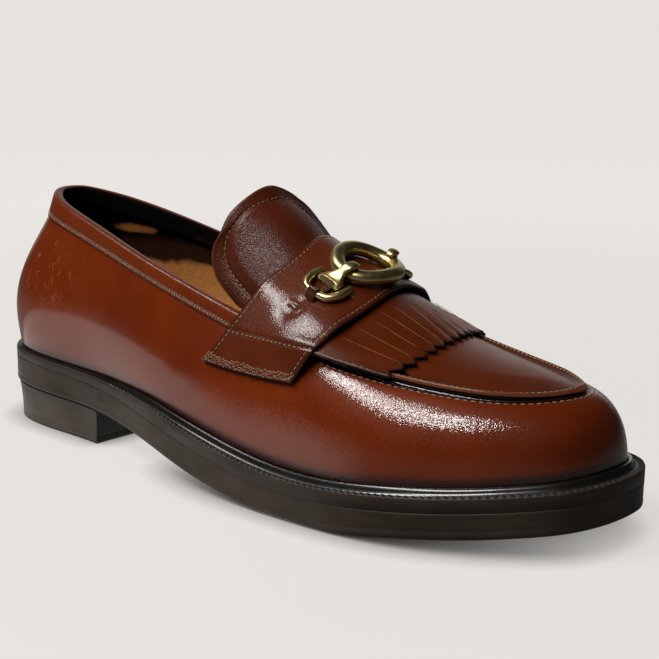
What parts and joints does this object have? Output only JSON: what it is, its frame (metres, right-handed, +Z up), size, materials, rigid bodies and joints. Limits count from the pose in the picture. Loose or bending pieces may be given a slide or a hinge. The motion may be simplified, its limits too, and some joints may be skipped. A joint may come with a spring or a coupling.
{
  "type": "buckle loafer",
  "caption": "Slip-on leather loafer for the right foot, with an apron toe, pinked kiltie, saddle strap with a metal link buckle, welted sole and low block heel.",
  "frame": {"origin": "on the floor under the middle of the shoe's box", "axes": "+X towards the toe, +Y towards the inner side of the foot, +Z up"},
  "size_m": [0.3, 0.1066, 0.111],
  "materials": {
    "upper": "polished mahogany brown, darker at the toe",
    "dark_leather": "fine-grained dark brown",
    "apron_leather": "polished mid brown",
    "welt": "glossy black",
    "sole": "satin dark brown",
    "rubber": "matt black",
    "insole": "plain tan",
    "brass": "polished antique gold"
  },
  "bodies": {
    "root": {"outsole": "sole", "heel_block": "sole", "heel_top_lift": "rubber", "welt": "welt", "insole": "insole", "upper": "upper", "apron": "apron_leather", "kiltie": "apron_leather", "saddle_strap": "dark_leather", "collar_band": "upper", "tongue": "dark_leather", "buckle_link": "brass", "buckle_stirrup_outer": "brass", "buckle_stirrup_inner": "brass", "buckle_bar_outer": "brass", "buckle_bar_inner": "brass"}
  },
  "joints": []
}
